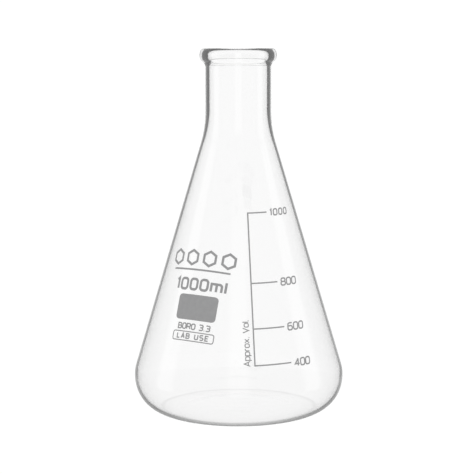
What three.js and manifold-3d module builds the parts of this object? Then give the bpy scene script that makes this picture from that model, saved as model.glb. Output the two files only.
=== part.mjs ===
// Narrow-neck conical laboratory flask of 1000 ml, with its fired enamel graduation and label.
// Millimetres, +Z up. The origin is the middle of the resting ring, and -Y is the front, where the print is.
import * as THREE from "three";
import { mergeVertices } from "three/addons/utils/BufferGeometryUtils.js";
import Module from "manifold-3d";

const wasm = await Module();
wasm.setup();

// ---- Driving dimensions of the glass ----
const HEIGHT = 227; // resting ring to the top of the rim
const BODY_R = 65.5; // greatest outer radius, just above the heel
const NECK_R = 20.4; // outer radius of the neck
const HEEL_R = 23.7; // radius of the rounded heel, outside
const HEEL_FULLNESS = 2.13; // 2 makes the heel a circular arc, and more makes it fuller
const SHOULDER_R = 68; // radius of the long hollow curve from the cone to the neck
const SHOULDER_TOP = 188.5; // where that curve becomes the straight neck
const NECK_WALL = 2.5;
const CONE_WALL = 1.4;
const HEEL_WALL = 1.8;
const FLOOR_WALL = 2.4;
const REST_IN_R = 36; // the flat resting ring lies between this radius and the heel
const PUSH_UP = 1.3; // how far the underside rises in its middle
const UNDERSIDE = { at: 0.7, rise: 0.75 }; // at this share of REST_IN_R it has this share of that rise
const INNER_FLOOR = { at: 0.8, rise: 0.5 }; // at this share of REST_IN_R the floor is this much over HEEL_WALL
const BEAD_OUT = 3.5; // how far the rim's bead stands out from the neck
const BEAD_HALF = 4.0; // half the bead's height
const BEAD_FILLET = 1.5; // height of the slope from the neck into the bead
const MOUTH_FLARE = 1.0; // how much wider the mouth's radius is than the bore's
const RIM_START = -72; // degrees round the bead, from outwards, where the neck runs into it
const SEGMENTS = 48; // facets round the glass
const HEEL_STEPS = 8; // facets along the heel, the shoulder and the rim
const SHOULDER_STEPS = 6;
const RIM_STEPS = 14;

// ---- Driving dimensions of the enamel ----
const GAP = 0.3; // clearance between the faceted glass and the enamel
const ENAMEL = 0.3; // thickness of the enamel solids
const INSET = 0.03; // each further stroke of a character is this much thinner on both faces
const LINE_W = 0.85; // width of the graduation lines
const STEP = 3.2; // longest flat piece of a curved line
const SOFT_TURN = 0.9; // corners that turn less than this, in radians, are rounded
const SOFT_CUT = 0.29; // share of the shorter side that the rounding takes

// The volume scale: a spine with a line at each volume, and its numbers.
const SCALE_AZIMUTH = 9; // degrees to the right of the front
const SCALE_TURN = 1; // degrees that the lines and numbers rise to the right
const NUMBER_GAP = 2.1; // from the end of a line to its number
const NUMBER_DROP = 0.3; // how far a number sits below the middle of its line
const NUMBER_WEIGHT = 0.88;
const VOLUMES = [
  { name: "1000", z: 128.5, reach: 12.1, height: 4.6, width: 14.8 },
  { name: "800", z: 87.5, reach: 16.9, height: 5.1, width: 12.4 },
  { name: "600", z: 61.3, reach: 19.9, height: 5.1, width: 12.4 },
  { name: "400", z: 40.4, reach: 23.3, height: 5.1, width: 12.4 },
];
// The words beside the spine: gap is from the spine to their feet, and start is along it from the lowest line.
const SCALE_NOTE = { text: "Approx. Vol.", height: 4.1, width: 28, weight: 0.62, gap: 2.5, start: -0.5 };

// The label: a plain mark, the capacity, a writing panel, the glass type and a framed note.
const LABEL_AZIMUTH = -29.4;
const LABEL_TURN = -1.9; // degrees, so that the label falls a little to the right
const HEXAGONS = { z: 101.6, count: 4, radius: 4.4, pitch: 12.2, middle: -1.5, weight: 1.5 };
const HEXAGON_BAR = { from: -22, to: 19, v: -7.3, weight: 1.1 };
const CAPACITY = { text: "1000ml", z: 86.1, height: 7.9, width: 36.2, weight: 1.55 };
const PANEL = { z: 72.7, width: 27.6, height: 15.4, corner: 2.2 };
const GLASS_TYPE = { text: "BORO 3.3", z: 61.6, height: 4, width: 22.8, weight: 0.82 };
const USE_NOTE = { text: "LAB USE", z: 55.9, height: 3.6, width: 22.4, weight: 0.8 };
const NOTE_FRAME = { z: 55.9, width: 28.4, height: 5.4, corner: 1.1, weight: 0.65 };

const ENAMEL_GREY = 0x8f8f8f;
const GLASS_TINT = 0xf4f8f7;

// ---- The outer cone, tangent to the heel and to the shoulder ----
const heelCentre = new THREE.Vector2(BODY_R - HEEL_R, HEEL_R);
const shoulderCentre = new THREE.Vector2(NECK_R + SHOULDER_R, SHOULDER_TOP);
const between = shoulderCentre.clone().sub(heelCentre);
const CONE_TILT = between.angle() - Math.acos((HEEL_R + SHOULDER_R) / between.length());
const coneFoot = new THREE.Vector2(Math.cos(CONE_TILT), Math.sin(CONE_TILT))
  .multiplyScalar(HEEL_R)
  .add(heelCentre);

// Outer radius of the cone at a height.
function coneRadius(z) {
  return coneFoot.x - (z - coneFoot.y) * Math.tan(CONE_TILT);
}

// Points of an arc in the profile plane, with angles in degrees from the outward direction.
function arc(x, z, radius, from, to, steps) {
  return Array.from({ length: steps + 1 }, (_, i) => {
    const t = THREE.MathUtils.degToRad(from + ((to - from) * i) / steps);
    return new THREE.Vector2(x + radius * Math.cos(t), z + radius * Math.sin(t));
  });
}

// The lower quarter of the heel's outer curve, from the resting ring to the greatest width.
function heelCurve(steps) {
  const share = 2 / HEEL_FULLNESS;
  return arc(0, 0, 1, -90, 0, steps).map(
    (p) =>
      new THREE.Vector2(
        heelCentre.x + HEEL_R * Math.max(p.x, 0) ** share,
        heelCentre.y - HEEL_R * Math.max(-p.y, 0) ** share,
      ),
  );
}

// The inner face beside a curve of the outer face, where the wall changes evenly from one thickness to another.
function insideOf(curve, centre, walls, side) {
  return curve.map((p, i) => {
    const wall = THREE.MathUtils.lerp(walls[0], walls[1], i / (curve.length - 1));
    return p.clone().addScaledVector(p.clone().sub(centre).normalize(), side * wall);
  });
}

// The wall's section: from the axis under the base, up the outside, over the rim and down the inside.
function glassProfile() {
  const tilt = THREE.MathUtils.radToDeg(CONE_TILT);
  const bore = NECK_R - NECK_WALL;
  const beadZ = HEIGHT - BEAD_HALF;
  const mouth = bore + MOUTH_FLARE;
  const lip = (NECK_R + BEAD_OUT - mouth) / 2; // half the lip's thickness at the bead
  const heel = [...heelCurve(HEEL_STEPS), ...arc(heelCentre.x, heelCentre.y, HEEL_R, tilt / 2, tilt, 1)];
  const shoulder = arc(shoulderCentre.x, shoulderCentre.y, SHOULDER_R, 180 + tilt, 180, SHOULDER_STEPS);
  const outside = [
    new THREE.Vector2(0, PUSH_UP),
    new THREE.Vector2(REST_IN_R * UNDERSIDE.at, PUSH_UP * UNDERSIDE.rise),
    new THREE.Vector2(REST_IN_R, 0),
    ...heel,
    ...shoulder,
    new THREE.Vector2(NECK_R, beadZ - BEAD_HALF - BEAD_FILLET),
  ];
  const rim = arc(0, 0, 1, RIM_START, 180, RIM_STEPS).map(
    (p) => new THREE.Vector2(mouth + lip + p.x * lip, beadZ + p.y * BEAD_HALF),
  );
  const inside = [
    new THREE.Vector2(bore, beadZ - BEAD_HALF),
    ...insideOf([...shoulder].reverse(), shoulderCentre, [NECK_WALL, CONE_WALL], 1),
    ...insideOf([...heel].reverse(), heelCentre, [CONE_WALL, HEEL_WALL], -1),
    new THREE.Vector2(REST_IN_R * INNER_FLOOR.at, HEEL_WALL + INNER_FLOOR.rise),
    new THREE.Vector2(0, PUSH_UP + FLOOR_WALL),
  ];
  return [...outside, ...rim, ...inside];
}

// A closed manifold-3d solid from a three.js geometry.
function solid(geometry) {
  const bare = geometry.index ? geometry.toNonIndexed() : geometry;
  const clean = new THREE.BufferGeometry();
  clean.setAttribute("position", bare.getAttribute("position"));
  const merged = mergeVertices(clean, 1e-4);
  return new wasm.Manifold(
    new wasm.Mesh({
      numProp: 3,
      vertProperties: new Float32Array(merged.attributes.position.array),
      triVerts: new Uint32Array(merged.index.array),
    }),
  );
}

// A three.js geometry from a manifold-3d solid.
function geometryOf(body) {
  const mesh = body.getMesh();
  const geometry = new THREE.BufferGeometry();
  geometry.setAttribute("position", new THREE.BufferAttribute(mesh.vertProperties, 3));
  geometry.setIndex(new THREE.BufferAttribute(mesh.triVerts, 1));
  geometry.computeVertexNormals();
  return geometry;
}

// Where a point of the print lies in space: azimuth from the front, height on the cone, offset from the glass.
function onCone(azimuth, z, offset) {
  const r = coneRadius(z) + offset * Math.cos(CONE_TILT);
  const height = z + offset * Math.sin(CONE_TILT);
  return [r * Math.sin(azimuth), -r * Math.cos(azimuth), height];
}

// A print frame: u runs round the cone and v up its slant, in mm from an anchor at azimuth (degrees) and z.
// With turn = 90 the text runs up the slant.
function printFrame(azimuth, z, turn = 0) {
  const c = Math.cos(THREE.MathUtils.degToRad(turn));
  const s = Math.sin(THREE.MathUtils.degToRad(turn));
  return (p, offset) => {
    const u = p.x * c - p.y * s;
    const v = p.x * s + p.y * c;
    const height = z + v * Math.cos(CONE_TILT);
    return onCone(THREE.MathUtils.degToRad(azimuth) + u / coneRadius(height), height, offset);
  };
}

// The same, but with lines that are straight on the unrolled cone, and turned by a few degrees.
function flatFrame(azimuth, z, turn) {
  const c = Math.cos(THREE.MathUtils.degToRad(turn));
  const s = Math.sin(THREE.MathUtils.degToRad(turn));
  const toApex = coneRadius(z) / Math.sin(CONE_TILT);
  return (p, offset) => {
    const u = p.x * c - p.y * s;
    const left = toApex - (p.x * s + p.y * c);
    const height = z + (toApex - Math.hypot(u, left)) * Math.cos(CONE_TILT);
    const round = Math.atan2(u, left) / Math.sin(CONE_TILT);
    return onCone(THREE.MathUtils.degToRad(azimuth) + round, height, offset);
  };
}

// A closed solid between two edge lines of the print, which are equally long lists of points.
function band(left, right, frame, closed, inset) {
  const low = GAP + inset;
  const high = GAP + ENAMEL - inset;
  const sections = left.map((p, i) => [
    frame(p, low),
    frame(right[i], low),
    frame(right[i], high),
    frame(p, high),
  ]);
  const positions = [];
  const quad = (a, b, c, d) => positions.push(...a, ...b, ...c, ...a, ...c, ...d);
  const count = sections.length;
  for (let i = 0; i < (closed ? count : count - 1); i++) {
    const here = sections[i];
    const next = sections[(i + 1) % count];
    for (let k = 0; k < 4; k++) {
      quad(here[k], next[k], next[(k + 1) % 4], here[(k + 1) % 4]);
    }
  }
  if (!closed) {
    const first = sections[0];
    const last = sections[count - 1];
    quad(first[0], first[1], first[2], first[3]);
    quad(last[3], last[2], last[1], last[0]);
  }
  const geometry = new THREE.BufferGeometry();
  geometry.setAttribute("position", new THREE.Float32BufferAttribute(positions, 3));
  return solid(geometry);
}

// Cuts each gentle corner of a path in two, so that the font's chamfers become round.
function soften(path, closed) {
  const count = path.length;
  return path.flatMap((p, i) => {
    if (!closed && (i === 0 || i === count - 1)) return [p];
    const before = path[(i + count - 1) % count];
    const after = path[(i + 1) % count];
    const a = p.clone().sub(before);
    const b = after.clone().sub(p);
    const turn = Math.acos(THREE.MathUtils.clamp(a.dot(b) / a.length() / b.length(), -1, 1));
    if (turn > SOFT_TURN) return [p];
    const cut = SOFT_CUT * Math.min(a.length(), b.length());
    return [p.clone().addScaledVector(a.normalize(), -cut), p.clone().addScaledVector(b.normalize(), cut)];
  });
}

// Adds points to a path so that no piece is longer than STEP.
function refine(path, closed) {
  const out = [];
  const count = path.length;
  path.forEach((p, i) => {
    out.push(p);
    if (!closed && i === count - 1) return;
    const next = path[(i + 1) % count];
    const parts = Math.ceil(p.distanceTo(next) / STEP);
    for (let k = 1; k < parts; k++) out.push(p.clone().lerp(next, k / parts));
  });
  return out;
}

// A line of the given width along a path, with mitred corners.
function stroke(path, width, frame, closed, inset = 0) {
  const points = refine(path, closed);
  const count = points.length;
  const left = [];
  const right = [];
  points.forEach((p, i) => {
    const before = closed || i > 0 ? points[(i + count - 1) % count] : null;
    const after = closed || i < count - 1 ? points[(i + 1) % count] : null;
    const a = (before ? p.clone().sub(before) : after.clone().sub(p)).normalize();
    const b = (after ? after.clone().sub(p) : a.clone()).normalize();
    const side = new THREE.Vector2(-a.y - b.y, a.x + b.x).normalize();
    const reach = width / 2 / Math.max(side.dot(new THREE.Vector2(-a.y, a.x)), 0.35);
    left.push(p.clone().addScaledVector(side, reach));
    right.push(p.clone().addScaledVector(side, -reach));
  });
  return band(left, right, frame, closed, inset);
}

// ---- A plain technical stroke font, with a cap height of 8 units ----
// Each character has its width and its strokes: "loop" strokes are closed, "line" strokes are open.
const FONT = {
  0: [6, ["loop", 1.3, 0, 4.7, 0, 6, 1.3, 6, 6.7, 4.7, 8, 1.3, 8, 0, 6.7, 0, 1.3]],
  1: [2, ["line", 0, 6.6, 1.7, 8, 1.7, 0]],
  3: [
    6,
    ["line", 0, 8, 4.8, 8, 6, 6.9, 6, 5.1, 5.1, 4.1, 6, 3.1, 6, 1.2, 4.8, 0, 0, 0],
    ["line", 1.6, 4.1, 5.1, 4.1],
  ],
  4: [6.4, ["line", 4.6, 8.1, 0.4, 2.3, 6.4, 2.3], ["line", 4.6, 8, 4.6, 0]],
  6: [
    6,
    ["loop", 1.3, 0, 4.7, 0, 6, 1.3, 6, 3.4, 4.7, 4.7, 0, 4.7, 0, 1.3],
    ["line", 0, 4, 0, 6.7, 1.3, 8, 5.6, 8],
  ],
  8: [
    6,
    ["loop", 1.2, 0, 4.8, 0, 6, 1.2, 6, 3.1, 5, 4.1, 1, 4.1, 0, 3.1, 0, 1.2],
    ["loop", 1.2, 4.1, 4.8, 4.1, 5.7, 5, 5.7, 6.9, 4.6, 8, 1.4, 8, 0.3, 6.9, 0.3, 5],
  ],
  A: [6.4, ["line", 0, 0, 3.2, 8, 6.4, 0], ["line", 1.1, 2.5, 5.3, 2.5]],
  B: [
    6,
    ["loop", 0, 0, 4.8, 0, 6, 1.1, 6, 3.1, 5, 4.1, 0, 4.1],
    ["loop", 0, 4.1, 4.7, 4.1, 5.6, 5, 5.6, 7, 4.6, 8, 0, 8],
  ],
  E: [5.4, ["line", 5.4, 8, 0, 8, 0, 0, 5.4, 0], ["line", 0, 4.1, 4.7, 4.1]],
  L: [5, ["line", 0, 8, 0, 0, 5, 0]],
  O: [6, ["loop", 1.3, 0, 4.7, 0, 6, 1.3, 6, 6.7, 4.7, 8, 1.3, 8, 0, 6.7, 0, 1.3]],
  R: [
    6,
    ["line", 0, 0, 0, 8, 4.7, 8, 6, 6.8, 6, 4.8, 4.8, 3.6, 0, 3.6],
    ["line", 3.6, 3.6, 6, 0],
  ],
  S: [6, ["line", 5.8, 8, 1.2, 8, 0, 7, 0, 5.1, 1.1, 4.1, 4.9, 4.1, 6, 3.1, 6, 1.1, 4.8, 0, 0.2, 0]],
  U: [6, ["line", 0, 8, 0, 1.3, 1.3, 0, 4.7, 0, 6, 1.3, 6, 8]],
  V: [6.4, ["line", 0, 8, 3.2, 0, 6.4, 8]],
  l: [0.2, ["line", 0.1, 8, 0.1, 0]],
  m: [8.4, ["line", 0, 0, 0, 5.8, 7.2, 5.8, 8.4, 4.7, 8.4, 0], ["line", 4.2, 5.8, 4.2, 0]],
  o: [5, ["loop", 1.1, 0, 3.9, 0, 5, 1.1, 5, 4.7, 3.9, 5.8, 1.1, 5.8, 0, 4.7, 0, 1.1]],
  p: [5, ["line", 0, -2.4, 0, 5.8, 3.9, 5.8, 5, 4.7, 5, 1.1, 3.9, 0, 0, 0]],
  r: [3, ["line", 0, 0, 0, 4.7, 1.1, 5.8, 3, 5.8]],
  x: [4.8, ["line", 0, 0, 4.8, 5.8], ["line", 0, 5.8, 4.8, 0]],
  ".": [1, ["line", 0, 0, 1, 0]],
};
const CAP = 8;
const SPACE = 3;

const enamelMaterial = () =>
  new THREE.MeshStandardMaterial({ color: ENAMEL_GREY, roughness: 0.55, metalness: 0 });

const flask = new THREE.Group();

function addMesh(name, geometry, material) {
  const mesh = new THREE.Mesh(geometry, material);
  mesh.name = name;
  flask.add(mesh);
}

// Joins overlapping bands into one mark and adds it to the flask.
function addMark(name, bands) {
  const joined = bands.reduce((sum, next) => sum.add(next));
  addMesh(name, geometryOf(joined), enamelMaterial());
}

function pathOf(numbers, scale, x, y) {
  const points = [];
  for (let i = 0; i < numbers.length; i += 2) {
    points.push(new THREE.Vector2(x + numbers[i] * scale, y + numbers[i + 1] * scale));
  }
  return points;
}

// How far each character starts along a line of text, and the text's whole length, in font units.
function layout(text, spacing) {
  let x = 0;
  const starts = Array.from(text, (c) => {
    const start = x;
    x += (c === " " ? SPACE : FONT[c][0]) + spacing;
    return start;
  });
  return { starts, length: x - spacing };
}

// A line of text, left-aligned at u = 0 with its baseline on v = 0, drawn as one mark for each character.
function addText(prefix, frame, { text, height, width, weight }) {
  const scale = (height - weight) / CAP;
  const tight = layout(text, 0);
  const spacing = ((width - weight) / scale - tight.length) / (text.length - 1);
  const { starts } = layout(text, spacing);
  Array.from(text).forEach((c, i) => {
    if (c === " ") return;
    const x = weight / 2 + starts[i] * scale;
    const bands = FONT[c].slice(1).map(([kind, ...numbers], k) =>
      stroke(
        soften(pathOf(numbers, scale, x, weight / 2), kind === "loop"),
        weight,
        frame,
        kind === "loop",
        k * INSET,
      ),
    );
    const label = c === "." ? "dot" : c;
    addMark(`${prefix}_${String(i + 1).padStart(2, "0")}_${label}`, bands);
  });
}

// ---- The glass: one blown piece, from the resting ring to the beaded rim ----
function addGlass() {
  const geometry = new THREE.LatheGeometry(glassProfile(), SEGMENTS);
  geometry.rotateX(Math.PI / 2);
  const material = new THREE.MeshStandardMaterial({
    color: GLASS_TINT,
    roughness: 0.03,
    metalness: 0,
    transparent: true,
    opacity: 0.35,
  });
  addMesh("glass_body", geometryOf(solid(geometry)), material);
}

// ---- The volume scale ----

function addScale() {
  const top = VOLUMES[0].z;
  const length = (top - VOLUMES[VOLUMES.length - 1].z) / Math.cos(CONE_TILT);
  const frameAt = (z) => printFrame(SCALE_AZIMUTH, z, SCALE_TURN);
  const down = (v) => new THREE.Vector2(0, v);
  const spine = stroke(
    [down(LINE_W / 2), down(-length - LINE_W / 2)],
    LINE_W,
    printFrame(SCALE_AZIMUTH, top),
    false,
  );
  const lines = VOLUMES.map(({ z, reach }) =>
    stroke([down(0), new THREE.Vector2(reach, 0)], LINE_W, frameAt(z), false, INSET),
  );
  addMark("graduation_scale", [spine, ...lines]);
  for (const { name, z, reach, height, width } of VOLUMES) {
    const number = { text: name, height, width, weight: NUMBER_WEIGHT };
    const frame = frameAt(z);
    const placed = (p, offset) =>
      frame(
        new THREE.Vector2(p.x + reach + NUMBER_GAP, p.y - height / 2 - NUMBER_DROP),
        offset,
      );
    addText(`number_${name}`, placed, number);
  }
}

// The words that run up the slant beside the spine.
function addScaleNote() {
  const frame = printFrame(SCALE_AZIMUTH, VOLUMES[VOLUMES.length - 1].z, 90);
  const placed = (p, offset) =>
    frame(new THREE.Vector2(p.x + SCALE_NOTE.start, p.y + SCALE_NOTE.gap), offset);
  addText("note", placed, SCALE_NOTE);
}

// ---- The label ----

// A row of hexagon outlines over a bar.
function addHexagonMark() {
  const frame = flatFrame(LABEL_AZIMUTH, HEXAGONS.z, LABEL_TURN);
  for (let i = 0; i < HEXAGONS.count; i++) {
    const x = HEXAGONS.middle + (i - (HEXAGONS.count - 1) / 2) * HEXAGONS.pitch;
    const corners = arc(x, 0, HEXAGONS.radius, 90, 390, 5);
    addMark(`hexagon_${i + 1}`, [stroke(corners, HEXAGONS.weight, frame, true)]);
  }
  const bar = [HEXAGON_BAR.from, HEXAGON_BAR.to].map((x) => new THREE.Vector2(x, HEXAGON_BAR.v));
  addMark("hexagon_bar", [stroke(bar, HEXAGON_BAR.weight, frame, false)]);
}

// The edges of a rectangle with round corners, as a lower and an upper line from left to right.
function roundedEdges(width, height, corner) {
  const half = width / 2;
  const inner = half - corner;
  const flat = Math.ceil((2 * inner) / STEP);
  const drop = (u) => corner - Math.sqrt(Math.max(corner ** 2 - Math.max(Math.abs(u) - inner, 0) ** 2, 0));
  const ends = [1, 0.9, 0.6].map((share) => inner + corner * share);
  const middle = Array.from({ length: flat + 1 }, (_, i) => -inner + (2 * inner * i) / flat);
  const us = [...ends.map((u) => -u), ...middle, ...ends.reverse()];
  const edge = (sign) => us.map((u) => new THREE.Vector2(u, sign * (height / 2 - drop(u))));
  return { lower: edge(-1), upper: edge(1) };
}

function addPanel() {
  const { lower, upper } = roundedEdges(PANEL.width, PANEL.height, PANEL.corner);
  const frame = flatFrame(LABEL_AZIMUTH, PANEL.z, LABEL_TURN);
  addMark("writing_panel", [band(upper, lower, frame, false, 0)]);
}

function addNoteFrame() {
  const x = NOTE_FRAME.width / 2 - NOTE_FRAME.corner;
  const y = NOTE_FRAME.height / 2 - NOTE_FRAME.corner;
  const outline = [
    [x, -y, -90],
    [x, y, 0],
    [-x, y, 90],
    [-x, -y, 180],
  ].flatMap(([cx, cy, from]) => arc(cx, cy, NOTE_FRAME.corner, from, from + 90, 2));
  const frame = flatFrame(LABEL_AZIMUTH, NOTE_FRAME.z, LABEL_TURN);
  addMark("note_frame", [stroke(outline, NOTE_FRAME.weight, frame, true)]);
}

// A line of the label's text, centred on the label's azimuth and on its own height.
function addLabelText(prefix, line) {
  const frame = flatFrame(LABEL_AZIMUTH, line.z, LABEL_TURN);
  const placed = (p, offset) =>
    frame(new THREE.Vector2(p.x - line.width / 2, p.y - line.height / 2), offset);
  addText(prefix, placed, line);
}

function addLabel() {
  addHexagonMark();
  addLabelText("capacity", CAPACITY);
  addPanel();
  addLabelText("glass_type", GLASS_TYPE);
  addNoteFrame();
  addLabelText("use_note", USE_NOTE);
}

addGlass();
addScale();
addScaleNote();
addLabel();

export default flask;
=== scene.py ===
"""Conical laboratory flask in clear borosilicate glass, with its fired enamel print.

Metres, +Z up. The flask stands on the floor at the origin, and -Y is the front.
"""

import math

import bmesh
import bpy
from mathutils import Matrix, Vector


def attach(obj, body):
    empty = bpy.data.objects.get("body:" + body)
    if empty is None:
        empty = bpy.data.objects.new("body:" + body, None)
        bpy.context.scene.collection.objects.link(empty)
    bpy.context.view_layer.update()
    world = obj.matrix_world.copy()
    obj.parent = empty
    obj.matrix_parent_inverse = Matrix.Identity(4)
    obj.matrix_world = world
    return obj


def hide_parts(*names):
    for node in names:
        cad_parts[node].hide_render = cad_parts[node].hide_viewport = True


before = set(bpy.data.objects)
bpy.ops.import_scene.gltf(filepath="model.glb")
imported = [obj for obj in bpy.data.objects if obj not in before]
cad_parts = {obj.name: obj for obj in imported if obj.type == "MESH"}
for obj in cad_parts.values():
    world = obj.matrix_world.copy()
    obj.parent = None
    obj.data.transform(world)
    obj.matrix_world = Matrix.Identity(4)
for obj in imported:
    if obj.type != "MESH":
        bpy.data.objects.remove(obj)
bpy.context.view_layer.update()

MM = 0.001

# ---- The glass, in millimetres: the same driving dimensions as the CAD model ----
HEIGHT = 227.0
BODY_R = 65.5
NECK_R = 20.4
HEEL_R = 23.7
HEEL_FULLNESS = 2.13
SHOULDER_R = 68.0
SHOULDER_TOP = 188.5
NECK_WALL = 2.5
CONE_WALL = 1.4
HEEL_WALL = 1.8
FLOOR_WALL = 2.4
REST_IN_R = 36.0
PUSH_UP = 1.3
UNDERSIDE = ((0.35, 0.93), (0.7, 0.6), (0.9, 0.18))  # shares of REST_IN_R, and of PUSH_UP there
INNER_FLOOR = ((0.8, 2.3), (0.4, 3.35))  # shares of REST_IN_R, and the floor's height there
BEAD_OUT = 3.5
BEAD_HALF = 4.0
BEAD_FILLET = 1.5
MOUTH_FLARE = 1.0
RIM_START = -62.0  # degrees round the bead, from outwards, where the fillet runs into it
SEGMENTS = 256

# ---- The enamel, in millimetres ----
CAD_GAP = 0.3  # the CAD enamel floats this far off the glass
CAD_ENAMEL = 0.3  # and is this thick
SEAT = 0.004  # the real layer starts this far off the glass
LAYER = 0.06  # and is this thick
LONGEST_EDGE = 0.9
SUBDIVISIONS = 2

# ---- Looks ----
GLASS_IOR = 1.473
ENAMEL_COLOUR = (0.29, 0.29, 0.293)
MOTTLE = 0.1  # how much lighter and darker the enamel gets in places

# ---- The white tent and table, as brightness and degrees ----
BACKDROP = 1.04
IN_REFLECTIONS = 0.8
BEHIND_GLASS = 1.0
DARK_SIDES = 0.12  # what light that was turned inside the glass comes from
PANEL_HALF = 7.0  # half the width of each of the four bright panels
PANEL_EDGE = 10.0  # how softly they end
PANEL_TOP = 22.0  # how high above and below the horizon they reach
GROUND = 27.0  # below this the tent's floor is dark
TABLE_R = 0.13
TABLE_DROP = 0.0004
TABLE_LOSS = 0.35  # how much of the table's light is lost to a turned ray, at the front and back
SIDE_LOSS = 1.0  # and at the sides
SHADE = ((0, 0.92), (0.36, 0.92), (0.38, 0.78), (0.395, 0.97), (1, 0.98))  # the flask's painted shade on the table, with a darker painted ring at its edge: brightness by share of the radius

# ---- The camera: level with the rim, 0.93 m from the flask, looking a little down ----
CAMERA_AT = (0, -0.929, 0.2196)
LENS = 113.5
PITCH = 0.1175  # radians, like the two below
YAW = 0.001
ROLL = -0.0018


# ---------------------------------------------------------------- geometry

def cone_line():
    """The cone's tilt from vertical, and the point where it leaves the heel, as radius and height."""
    heel = Vector((BODY_R - HEEL_R, HEEL_R))
    shoulder = Vector((NECK_R + SHOULDER_R, SHOULDER_TOP))
    between = shoulder - heel
    tilt = math.atan2(between.y, between.x) - math.acos((HEEL_R + SHOULDER_R) / between.length)
    foot = heel + HEEL_R * Vector((math.cos(tilt), math.sin(tilt)))
    return tilt, foot


TILT, CONE_FOOT = cone_line()


def arc(x, z, rx, rz, start, end, steps):
    """Points of an arc in the profile plane, with angles in degrees from the outward direction."""
    points = []
    for i in range(steps + 1):
        t = math.radians(start + (end - start) * i / steps)
        points.append((x + rx * math.cos(t), z + rz * math.sin(t)))
    return points


def line(a, b, steps):
    """Points between two profile points, without the ends."""
    return [
        (a[0] + (b[0] - a[0]) * i / steps, a[1] + (b[1] - a[1]) * i / steps)
        for i in range(1, steps)
    ]


def heel_curve(steps):
    """The heel's outer curve, from the resting ring to the greatest width: an arc, made a little fuller."""
    share = 2 / HEEL_FULLNESS
    return [
        (BODY_R - HEEL_R + HEEL_R * max(x, 0) ** share, HEEL_R - HEEL_R * max(-z, 0) ** share)
        for x, z in arc(0, 0, 1, 1, -90, 0, steps)
    ]


def offset(points, centre, walls, hollow):
    """The inner face beside a curve of the outer face, while the wall goes from walls[0] to walls[1]."""
    inner = []
    for i, (x, z) in enumerate(points):
        wall = walls[0] + (walls[1] - walls[0]) * i / (len(points) - 1)
        away = Vector((x - centre[0], z - centre[1])).normalized()
        inner.append(tuple(Vector((x, z)) + away * (wall if hollow else -wall)))
    return inner


def glass_profile():
    """The wall's section, from the axis under the base, up the outside, over the rim and down the inside."""
    tilt = math.degrees(TILT)
    bore = NECK_R - NECK_WALL
    bead_z = HEIGHT - BEAD_HALF
    mouth = bore + MOUTH_FLARE
    lip = (NECK_R + BEAD_OUT - mouth) / 2
    heel_at = (BODY_R - HEEL_R, HEEL_R)
    shoulder_at = (NECK_R + SHOULDER_R, SHOULDER_TOP)
    heel = heel_curve(36) + arc(*heel_at, HEEL_R, HEEL_R, 0, tilt, 8)[1:]
    shoulder = arc(*shoulder_at, SHOULDER_R, SHOULDER_R, 180 + tilt, 180, 20)
    rim = arc(mouth + lip, bead_z, lip, BEAD_HALF, RIM_START, 180, 40)
    start = math.radians(RIM_START)
    slope = BEAD_HALF * math.cos(start) / (-lip * math.sin(start))
    corner = (NECK_R, rim[0][1] - (rim[0][0] - NECK_R) * slope)
    neck_top = (NECK_R, corner[1] - BEAD_FILLET)
    outside = [
        (0, PUSH_UP),
        *[(REST_IN_R * at, PUSH_UP * rise) for at, rise in UNDERSIDE],
        (REST_IN_R, 0),
        *heel,
        *line(heel[-1], shoulder[0], 24),
        *shoulder,
        *line(shoulder[-1], neck_top, 12),
        *fillet(neck_top, corner, rim[0], 12)[:-1],
    ]
    shoulder_in = offset(shoulder[::-1], shoulder_at, (NECK_WALL, CONE_WALL), True)
    heel_in = offset(heel[::-1], heel_at, (CONE_WALL, HEEL_WALL), False)
    inside = [
        (bore, bead_z - BEAD_HALF),
        *line((bore, bead_z - BEAD_HALF), shoulder_in[0], 6),
        *shoulder_in,
        *line(shoulder_in[-1], heel_in[0], 24),
        *heel_in,
        *[(REST_IN_R * at, z) for at, z in INNER_FLOOR],
        (0, PUSH_UP + FLOOR_WALL),
    ]
    return outside + rim + inside


def fillet(start, corner, end, steps):
    """A quadratic curve from start to end that is pulled towards corner."""
    points = []
    for i in range(steps + 1):
        t = i / steps
        a, b, c = (1 - t) ** 2, 2 * t * (1 - t), t ** 2
        points.append(tuple(a * start[k] + b * corner[k] + c * end[k] for k in (0, 1)))
    return points


def new_object(name, verts, faces, material):
    mesh = bpy.data.meshes.new(name)
    mesh.from_pydata(verts, [], faces)
    mesh.validate()
    mesh.materials.append(material)
    mesh.shade_smooth()
    piece = bpy.data.objects.new(name, mesh)
    bpy.context.scene.collection.objects.link(piece)
    return piece


def lathe(name, profile, material):
    """A closed solid of revolution from a profile that starts and ends on the axis."""
    verts = [(0, 0, profile[0][1] * MM)]
    for r, z in profile[1:-1]:
        for k in range(SEGMENTS):
            t = 2 * math.pi * k / SEGMENTS
            verts.append((r * MM * math.cos(t), r * MM * math.sin(t), z * MM))
    verts.append((0, 0, profile[-1][1] * MM))
    rings = len(profile) - 2
    last = len(verts) - 1
    faces = []
    for k in range(SEGMENTS):
        n = (k + 1) % SEGMENTS
        faces.append((0, 1 + n, 1 + k))
        for ring in range(rings - 1):
            a = 1 + ring * SEGMENTS
            b = a + SEGMENTS
            faces.append((a + k, a + n, b + n, b + k))
        top = 1 + (rings - 1) * SEGMENTS
        faces.append((last, top + k, top + n))
    return new_object(name, verts, faces, material)


# ---------------------------------------------------------------- materials

def nodes_of(name):
    material = bpy.data.materials.new(name)
    material.use_nodes = True
    tree = material.node_tree
    return material, tree.nodes, tree.links, tree.nodes["Principled BSDF"]


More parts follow.
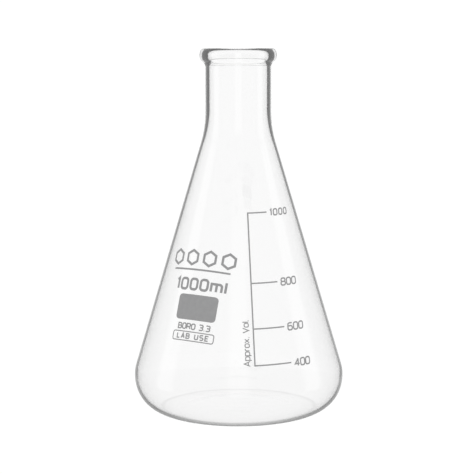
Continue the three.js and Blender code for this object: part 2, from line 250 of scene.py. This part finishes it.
def glass_material():
    material, _, _, shader = nodes_of("clear_borosilicate_glass")
    shader.inputs["Base Color"].default_value = (0.995, 0.995, 0.995, 1)
    shader.inputs["Transmission Weight"].default_value = 1.0
    shader.inputs["Roughness"].default_value = 0.0
    shader.inputs["IOR"].default_value = GLASS_IOR
    return material


def noise(nodes, links, place, scale, detail):
    """A noise pattern in the object's own space."""
    pattern = nodes.new("ShaderNodeTexNoise")
    pattern.inputs["Scale"].default_value = scale
    pattern.inputs["Detail"].default_value = detail
    links.new(place.outputs["Object"], pattern.inputs["Vector"])
    return pattern.outputs["Fac"]


def enamel_material():
    """Grey enamel, slightly mottled, with the fine grain of a screen print."""
    material, nodes, links, shader = nodes_of("fired_grey_enamel")
    place = nodes.new("ShaderNodeTexCoord")
    colour = nodes.new("ShaderNodeMix")
    colour.data_type = "RGBA"
    colour.inputs["A"].default_value = (*[c * (1 - MOTTLE) for c in ENAMEL_COLOUR], 1)
    colour.inputs["B"].default_value = (*[c * (1 + MOTTLE) for c in ENAMEL_COLOUR], 1)
    links.new(noise(nodes, links, place, 420, 4), colour.inputs["Factor"])
    links.new(colour.outputs["Result"], shader.inputs["Base Color"])
    grain = noise(nodes, links, place, 6000, 3)
    bump = nodes.new("ShaderNodeBump")
    bump.inputs["Strength"].default_value = 0.25
    bump.inputs["Distance"].default_value = 0.00002
    links.new(grain, bump.inputs["Height"])
    links.new(bump.outputs["Normal"], shader.inputs["Normal"])
    rough = nodes.new("ShaderNodeMapRange")
    rough.inputs["To Min"].default_value = 0.48
    rough.inputs["To Max"].default_value = 0.7
    links.new(grain, rough.inputs["Value"])
    links.new(rough.outputs["Result"], shader.inputs["Roughness"])
    return material


# ---------------------------------------------------------------- pieces

def cone_coordinates(point):
    """Azimuth from the front, height along the cone's slant, and distance off the cone, in mm."""
    x, y, z = (c / MM for c in point)
    azimuth = math.atan2(x, -y)
    dr, dz = math.hypot(x, y) - CONE_FOOT.x, z - CONE_FOOT.y
    along = dz * math.cos(TILT) - dr * math.sin(TILT)
    off = dr * math.cos(TILT) + dz * math.sin(TILT)
    return azimuth, along, off


def from_cone(azimuth, along, off):
    r = CONE_FOOT.x - along * math.sin(TILT) + off * math.cos(TILT)
    z = CONE_FOOT.y + along * math.cos(TILT) + off * math.sin(TILT)
    return Vector((r * math.sin(azimuth), -r * math.cos(azimuth), z)) * MM


def enamel_piece(node, material):
    """The mark's CAD solid, laid down on the smooth glass as a thin layer that follows its curve."""
    shape = bmesh.new()
    shape.from_mesh(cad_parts[node].data)
    bmesh.ops.remove_doubles(shape, verts=shape.verts, dist=1e-7)
    for _ in range(SUBDIVISIONS):
        long = [e for e in shape.edges if e.calc_length() > LONGEST_EDGE * MM]
        bmesh.ops.subdivide_edges(shape, edges=long, cuts=1)
    bmesh.ops.triangulate(shape, faces=shape.faces)
    for vert in shape.verts:
        azimuth, along, off = cone_coordinates(vert.co)
        share = (off - CAD_GAP) / CAD_ENAMEL
        vert.co = from_cone(azimuth, along, SEAT + LAYER * min(max(share, 0), 1))
    mesh = bpy.data.meshes.new(node + "_print")
    shape.to_mesh(mesh)
    shape.free()
    mesh.materials.append(material)
    piece = bpy.data.objects.new(node + "_print", mesh)
    bpy.context.scene.collection.objects.link(piece)
    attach(piece, "root")
    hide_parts(node)
    return piece


def make_glass():
    glass = lathe("flask_glass", glass_profile(), glass_material())
    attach(glass, "root")
    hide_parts("glass_body")
    return glass


# ---------------------------------------------------------------- studio

def maths(nodes, links, operation, a, b=None):
    """A math node's result, from sockets or plain numbers."""
    step = nodes.new("ShaderNodeMath")
    step.operation = operation
    for socket, value in zip(step.inputs, (a, b)):
        if isinstance(value, (int, float)):
            socket.default_value = value
        elif value is not None:
            links.new(value, socket)
    return step.outputs[0]


def choose(nodes, links, factor, a, b):
    """The number or socket a, turned into b as the factor goes from zero to one."""
    step = nodes.new("ShaderNodeMix")
    links.new(factor, step.inputs["Factor"])
    for name, value in (("A", a), ("B", b)):
        if isinstance(value, float):
            step.inputs[name].default_value = value
        else:
            links.new(value, step.inputs[name])
    return step.outputs["Result"]


def map_range(nodes, links, value, low, high):
    """Zero up to low, one from high, and smooth in between."""
    step = nodes.new("ShaderNodeMapRange")
    step.interpolation_type = "SMOOTHSTEP"
    step.inputs["From Min"].default_value = low
    step.inputs["From Max"].default_value = high
    links.new(value, step.inputs["Value"])
    return step.outputs["Result"]


def sine(degrees):
    return math.sin(math.radians(degrees))


def parts(nodes, links, place, output):
    """A texture coordinate's X, Y and Z."""
    way = nodes.new("ShaderNodeSeparateXYZ")
    links.new(place.outputs[output], way.inputs[0])
    return way


def between_panels(nodes, links, way):
    """Zero on the tent's four bright panels, which stand on the axes, and one in the gaps between them."""
    around = maths(nodes, links, "ARCTAN2", way.outputs["Y"], way.outputs["X"])
    wave = maths(nodes, links, "SINE", maths(nodes, links, "MULTIPLY", around, 2.0))
    size = maths(nodes, links, "ABSOLUTE", wave)
    return map_range(nodes, links, size, sine(2 * PANEL_HALF), sine(2 * (PANEL_HALF + PANEL_EDGE)))


def over_panels(nodes, links, way):
    """Zero at the height of the panels, and one well above and below them."""
    steep = maths(nodes, links, "ABSOLUTE", way.outputs["Z"])
    return map_range(nodes, links, steep, sine(PANEL_TOP), sine(PANEL_TOP + PANEL_EDGE))


def more_than(nodes, links, value, limit):
    return maths(nodes, links, "GREATER_THAN", value, limit)


def darkened(nodes, links, gaps, light):
    """The light, but dark for rays that one wall turned into a gap, or that ran along inside the wall."""
    path = nodes.new("ShaderNodeLightPath")
    crossed = path.outputs["Transmission Depth"]
    bounced = path.outputs["Glossy Depth"]
    inside = more_than(nodes, links, crossed, 0.5)
    near = maths(nodes, links, "LESS_THAN", crossed, 2.5)
    one_wall = maths(nodes, links, "MULTIPLY", inside, near)
    once = maths(nodes, links, "MULTIPLY", more_than(nodes, links, bounced, 0.5), gaps)
    lost = maths(nodes, links, "MAXIMUM", once, more_than(nodes, links, bounced, 1.5))
    return choose(nodes, links, maths(nodes, links, "MULTIPLY", one_wall, lost), light, DARK_SIDES)


def seen_light(nodes, links, behind_glass):
    """The backdrop seen directly, dimmer in a reflection, and behind_glass when seen through glass."""
    path = nodes.new("ShaderNodeLightPath")
    reflected = more_than(nodes, links, path.outputs["Glossy Depth"], 0.5)
    passed = more_than(nodes, links, path.outputs["Transmission Depth"], 0.5)
    light = choose(nodes, links, reflected, BACKDROP, IN_REFLECTIONS)
    return choose(nodes, links, passed, light, behind_glass)


def tent_light(nodes, links):
    """The tent: white, with dark gaps between and over its panels, and a floor dark to light only bent."""
    way = parts(nodes, links, nodes.new("ShaderNodeTexCoord"), "Generated")
    sides = between_panels(nodes, links, way)
    gaps = maths(nodes, links, "MAXIMUM", sides, over_panels(nodes, links, way))
    down = maths(nodes, links, "MULTIPLY", way.outputs["Z"], -1.0)
    floor = map_range(nodes, links, down, sine(GROUND), sine(GROUND + PANEL_EDGE))
    path = nodes.new("ShaderNodeLightPath")
    unturned = maths(nodes, links, "LESS_THAN", path.outputs["Glossy Depth"], 0.5)
    through = choose(nodes, links, maths(nodes, links, "MULTIPLY", unturned, floor), BEHIND_GLASS, DARK_SIDES)
    return darkened(nodes, links, gaps, seen_light(nodes, links, through))


def flask_shade(nodes, links, reach):
    """The flask's faint shade, painted on the glowing table with its darker edge, by the distance from the
    middle.
    """
    shade = nodes.new("ShaderNodeFloatCurve")
    curve = shade.mapping.curves[0]
    for x, y in SHADE[1:-1]:
        curve.points.new(x, y)
    curve.points[0].location = SHADE[0]
    curve.points[-1].location = SHADE[-1]
    for point in curve.points:
        point.handle_type = "VECTOR"
    shade.mapping.update()
    links.new(maths(nodes, links, "DIVIDE", reach, TABLE_R), shade.inputs["Value"])
    return shade.outputs["Value"]


def table_light(nodes, links):
    """The table's glow: white, with the flask's shade painted on it, and darkest at the sides for rays that
    one wall turned.
    """
    place = nodes.new("ShaderNodeTexCoord")
    way = parts(nodes, links, place, "Object")
    length = nodes.new("ShaderNodeVectorMath")
    length.operation = "LENGTH"
    links.new(place.outputs["Object"], length.inputs[0])
    reach = length.outputs["Value"]
    side = maths(nodes, links, "ABSOLUTE", maths(nodes, links, "DIVIDE", way.outputs["X"], reach))
    loss = choose(nodes, links, maths(nodes, links, "POWER", side, 2.0), TABLE_LOSS, SIDE_LOSS)
    return darkened(nodes, links, loss, seen_light(nodes, links, flask_shade(nodes, links, reach)))


def make_world():
    world = bpy.data.worlds.new("white_tent")
    bpy.context.scene.world = world
    world.use_nodes = True
    nodes, links = world.node_tree.nodes, world.node_tree.links
    background = nodes["Background"]
    background.inputs["Color"].default_value = (1, 1, 1, 1)
    links.new(tent_light(nodes, links), background.inputs["Strength"])


def make_floor():
    """A white table that glows as bright as the tent, with the flask's shade painted on it."""
    material, nodes, links, _ = nodes_of("glowing_white_table")
    emission = nodes.new("ShaderNodeEmission")
    links.new(table_light(nodes, links), emission.inputs["Strength"])
    links.new(emission.outputs[0], nodes["Material Output"].inputs["Surface"])
    rim = [(x, y, 0) for x, y in arc(0, 0, TABLE_R, TABLE_R, 0, 360, 64)[:-1]]
    floor = new_object("floor", rim, [tuple(range(len(rim)))], material)
    floor.location.z = -TABLE_DROP


def make_camera():
    data = bpy.data.cameras.new("camera")
    data.sensor_width = 36
    data.lens = LENS
    camera = bpy.data.objects.new("camera", data)
    bpy.context.scene.collection.objects.link(camera)
    camera.location = CAMERA_AT
    aim = Matrix.Rotation(YAW, 4, "Z") @ Matrix.Rotation(math.pi / 2 - PITCH, 4, "X")
    camera.rotation_euler = (aim @ Matrix.Rotation(ROLL, 4, "Z")).to_euler()
    bpy.context.scene.camera = camera


def make_studio():
    make_world()
    make_floor()
    make_camera()
    scene = bpy.context.scene
    scene.view_settings.view_transform = "Standard"
    scene.cycles.max_bounces = 24
    scene.cycles.transmission_bounces = 24
    scene.cycles.glossy_bounces = 16


make_studio()
make_glass()
enamel = enamel_material()
for node in sorted(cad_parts):
    if node != "glass_body":
        enamel_piece(node, enamel)
